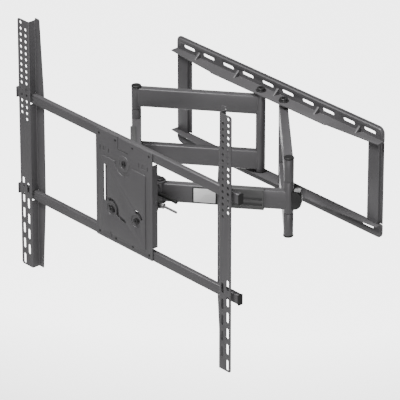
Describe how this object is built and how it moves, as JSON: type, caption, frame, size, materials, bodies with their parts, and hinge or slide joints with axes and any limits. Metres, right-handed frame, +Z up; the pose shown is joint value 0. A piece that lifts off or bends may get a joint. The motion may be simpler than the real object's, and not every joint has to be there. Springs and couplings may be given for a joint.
{
  "type": "full motion tv wall mount",
  "caption": "Slotted wall frame with two folding arms that carry a tilting, levelling head and cross rails, on which upright screen brackets slide.",
  "frame": {"origin": "on the wall, at the middle of the wall frame's upper slot row", "axes": "+X along the wall, to the right of someone who faces it; +Y into the wall; +Z up. The screen hangs on the -Y side"},
  "size_m": [0.8086, 0.4948, 0.658],
  "materials": {
    "dark_steel": "dark grey powder coat, satin",
    "bare_steel": "bright zinc plate",
    "black_plastic": "moulded, matt",
    "white_plastic": "smooth"
  },
  "bodies": {
    "wall_frame": {"wall_top_rail": "dark_steel", "wall_bottom_rail": "dark_steel", "wall_stile_left": "dark_steel", "wall_stile_right": "dark_steel", "wall_axle_left": "dark_steel", "wall_axle_right": "dark_steel", "wall_axle_nut_left": "dark_steel", "wall_axle_nut_right": "dark_steel"},
    "rear_link_left": {"rear_post_left": "dark_steel", "rear_upper_bar_left": "dark_steel", "rear_lower_bar_left": "dark_steel", "elbow_upper_knuckle_left": "dark_steel", "elbow_lower_knuckle_left": "dark_steel", "elbow_upper_cap_left": "black_plastic", "elbow_lower_cap_left": "black_plastic", "elbow_pin_left": "bare_steel", "wall_bush_left_top": "black_plastic", "wall_bush_left_bottom": "black_plastic"},
    "rear_link_right": {"rear_post_right": "dark_steel", "rear_upper_bar_right": "dark_steel", "rear_lower_bar_right": "dark_steel", "elbow_upper_knuckle_right": "dark_steel", "elbow_lower_knuckle_right": "dark_steel", "elbow_upper_cap_right": "black_plastic", "elbow_lower_cap_right": "black_plastic", "elbow_pin_right": "bare_steel", "wall_bush_right_top": "black_plastic", "wall_bush_right_bottom": "black_plastic"},
    "front_link_left": {"front_elbow_knuckle_left": "dark_steel", "front_bar_left": "dark_steel", "front_head_knuckle_left": "dark_steel", "front_nose_left": "black_plastic", "cable_cover_left": "black_plastic"},
    "front_link_right": {"front_elbow_knuckle_right": "dark_steel", "front_bar_right": "dark_steel", "front_head_knuckle_right": "dark_steel", "front_nose_right": "black_plastic", "cable_cover_right": "black_plastic", "nameplate_blank": "white_plastic"},
    "head": {"pivot_yoke": "dark_steel", "head_axle_left": "dark_steel", "head_axle_right": "dark_steel"},
    "tilt_head": {"tilt_frame": "dark_steel", "tilt_shaft": "bare_steel", "tilt_nut": "bare_steel", "tilt_grip": "black_plastic", "level_pivot_bolt": "bare_steel", "level_bolt_left": "bare_steel", "level_bolt_right": "bare_steel"},
    "clamp_knob": {"tilt_knob": "black_plastic"},
    "screen_plate": {"centre_plate": "dark_steel", "tv_rail_top": "dark_steel", "tv_rail_bottom": "dark_steel", "rail_cap_top_left": "black_plastic", "rail_cap_top_right": "black_plastic", "rail_cap_bottom_left": "black_plastic", "rail_cap_bottom_right": "black_plastic"},
    "screen_bracket_left": {"tv_bracket_left": "dark_steel"},
    "screen_bracket_right": {"tv_bracket_right": "dark_steel"}
  },
  "joints": [
    {"name": "wall_left", "type": "hinge", "parent": "wall_frame", "child": "rear_link_left", "pos_m": [-0.041, -0.021, -0.123], "axis": [0, 0, 1], "range_deg": [-36, 38]},
    {"name": "elbow_left", "type": "hinge", "parent": "rear_link_left", "child": "front_link_left", "pos_m": [-0.27609, -0.21687, -0.123], "axis": [0, 0, 1], "range_deg": [-76, 72]},
    {"name": "head_left", "type": "hinge", "parent": "front_link_left", "child": "head", "pos_m": [-0.041, -0.41275, -0.13], "axis": [0, 0, 1], "range_deg": [-36, 38]},
    {"name": "wall_right", "type": "hinge", "parent": "wall_frame", "child": "rear_link_right", "pos_m": [0.041, -0.021, -0.123], "axis": [0, 0, 1], "range_deg": [-38, 36]},
    {"name": "elbow_right", "type": "hinge", "parent": "rear_link_right", "child": "front_link_right", "pos_m": [0.27609, -0.21687, -0.123], "axis": [0, 0, 1], "range_deg": [-72, 76]},
    {"name": "tilt", "type": "hinge", "parent": "head", "child": "tilt_head", "pos_m": [0, -0.46275, -0.13], "axis": [1, 0, 0], "range_deg": [-5, 15]},
    {"name": "knob_turn", "type": "hinge", "parent": "tilt_head", "child": "clamp_knob", "pos_m": [0.081, -0.46275, -0.13], "axis": [1, 0, 0], "range_deg": [-180, 180]},
    {"name": "level", "type": "hinge", "parent": "tilt_head", "child": "screen_plate", "pos_m": [0, -0.48705, -0.0525], "axis": [0, 1, 0], "range_deg": [-3, 3]},
    {"name": "bracket_slide_left", "type": "slide", "parent": "screen_plate", "child": "screen_bracket_left", "axis": [1, 0, 0], "range_m": [-0.012, 0.2]},
    {"name": "bracket_slide_right", "type": "slide", "parent": "screen_plate", "child": "screen_bracket_right", "axis": [-1, 0, 0], "range_m": [-0.012, 0.2]}
  ],
  "couplings": [
    {"joint": "elbow_left", "follows": "wall_left", "ratio": -2},
    {"joint": "head_left", "follows": "wall_left", "ratio": 1},
    {"joint": "wall_right", "follows": "wall_left", "ratio": -1},
    {"joint": "elbow_right", "follows": "wall_left", "ratio": 2}
  ]
}
